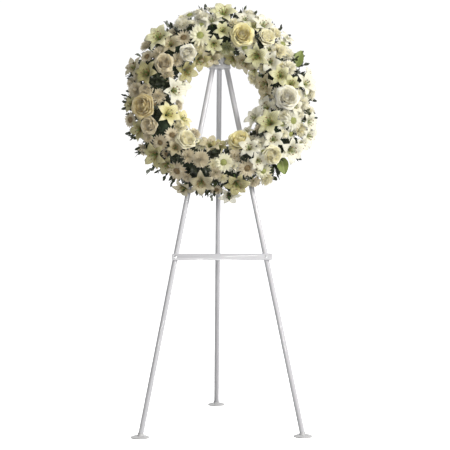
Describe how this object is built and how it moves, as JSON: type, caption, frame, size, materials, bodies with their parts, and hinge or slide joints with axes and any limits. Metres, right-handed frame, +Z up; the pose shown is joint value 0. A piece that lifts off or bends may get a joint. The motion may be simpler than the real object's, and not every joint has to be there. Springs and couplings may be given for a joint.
{
  "type": "funeral wreath on easel",
  "caption": "Round funeral wreath of roses, lilies, mums and daisies in a foam ring, hung on a folding white three-legged easel.",
  "frame": {"origin": "on the floor, in the easel's plane of symmetry, halfway from the front feet's front edge to the rear foot's back edge", "axes": "+Z up, -Y towards the viewer who faces the wreath, +X to that viewer's right"},
  "size_m": [0.5697, 0.62, 1.3056],
  "materials": {
    "white_paint": "satin",
    "foot_plastic": "satin",
    "zinc_fasteners": "satin",
    "tray_plastic": "satin",
    "floral_foam": "matte",
    "rose_petals": "satin",
    "lily_petals": "satin",
    "mum_petals": "matte",
    "daisy_petals": "matte",
    "leaf_green": "satin"
  },
  "bodies": {
    "front_frame": {"front_leg_left": "white_paint", "front_leg_right": "white_paint", "head_block": "white_paint", "hook_plate": "white_paint", "crossbar": "white_paint", "hinge_bolt": "zinc_fasteners", "hinge_nut": "zinc_fasteners", "ring_tray": "tray_plastic", "foam_ring": "floral_foam", "lily_01": "lily_petals", "rose_01": "rose_petals", "lily_02": "lily_petals", "lily_03": "lily_petals", "rose_02": "rose_petals", "mum_01": "mum_petals", "mum_02": "mum_petals", "lily_04": "lily_petals", "lily_05": "lily_petals", "rose_03": "rose_petals", "daisy_01": "daisy_petals", "lily_06": "lily_petals", "lily_07": "lily_petals", "rose_04": "rose_petals", "daisy_02": "daisy_petals", "rose_05": "rose_petals", "daisy_03": "daisy_petals", "lily_08": "lily_petals", "daisy_04": "daisy_petals", "lily_09": "lily_petals", "lily_10": "lily_petals", "mum_03": "mum_petals", "daisy_05": "daisy_petals", "daisy_06": "daisy_petals", "rose_06": "rose_petals", "lily_11": "lily_petals", "daisy_07": "daisy_petals", "mum_04": "mum_petals", "rose_07": "rose_petals", "lily_12": "lily_petals", "rose_08": "rose_petals", "mum_05": "mum_petals", "lily_13": "lily_petals", "lily_14": "lily_petals", "rose_09": "rose_petals", "lily_15": "lily_petals", "rose_10": "rose_petals", "mum_06": "mum_petals", "daisy_08": "daisy_petals", "mum_07": "mum_petals", "leaf_upper": "leaf_green", "leaf_lower": "leaf_green", "hook_screw_lower": "zinc_fasteners", "hook_screw_upper": "zinc_fasteners", "crossbar_screw_left": "zinc_fasteners", "crossbar_screw_right": "zinc_fasteners", "foot_left": "foot_plastic", "foot_right": "foot_plastic"},
    "rear_leg_assembly": {"rear_leg": "white_paint", "rear_leg_eye": "white_paint", "foot_rear": "foot_plastic"}
  },
  "joints": [
    {"name": "rear_leg_fold", "type": "hinge", "parent": "front_frame", "child": "rear_leg_assembly", "pos_m": [0, -0.05572, 1.12784], "axis": [-1, 0, 0], "range_deg": [0, 26]}
  ]
}
